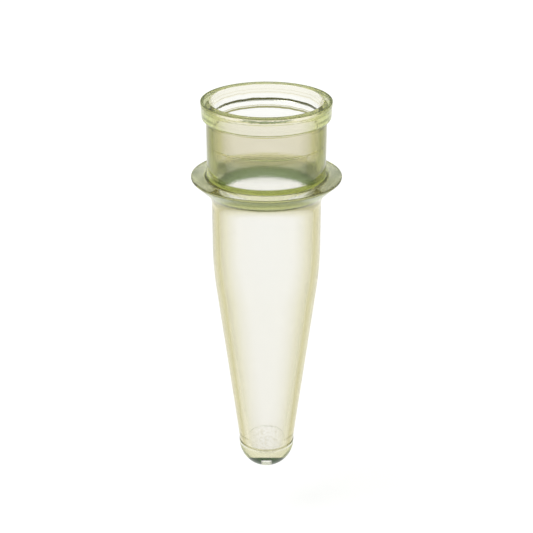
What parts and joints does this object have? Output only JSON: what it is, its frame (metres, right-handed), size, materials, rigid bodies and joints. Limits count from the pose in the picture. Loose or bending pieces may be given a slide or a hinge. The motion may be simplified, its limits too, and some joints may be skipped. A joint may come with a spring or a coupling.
{
  "type": "microcentrifuge tube",
  "caption": "Clear conical microcentrifuge tube without a lid: collared mouth, plug bore, flared rack flange, straight barrel, long taper and round tip.",
  "frame": {"origin": "on the tube's axis, level with the lower edge of the flange, where the flare seats in a rack or rotor hole", "axes": "+Z along the tube's axis, out of the mouth; X and Y are any two level directions, because the tube is round"},
  "size_m": [0.0148, 0.0148, 0.04],
  "materials": {
    "clear_polypropylene": "as-moulded clear polypropylene with a faint yellow-green tint, glossy outside, finely ringed inside"
  },
  "bodies": {
    "root": {"mouth_collar": "clear_polypropylene", "seal_land": "clear_polypropylene", "neck_wall": "clear_polypropylene", "rack_flange": "clear_polypropylene", "straight_barrel": "clear_polypropylene", "barrel_bend": "clear_polypropylene", "tapered_cone": "clear_polypropylene", "round_tip": "clear_polypropylene", "gate_mark": "clear_polypropylene"}
  },
  "joints": []
}
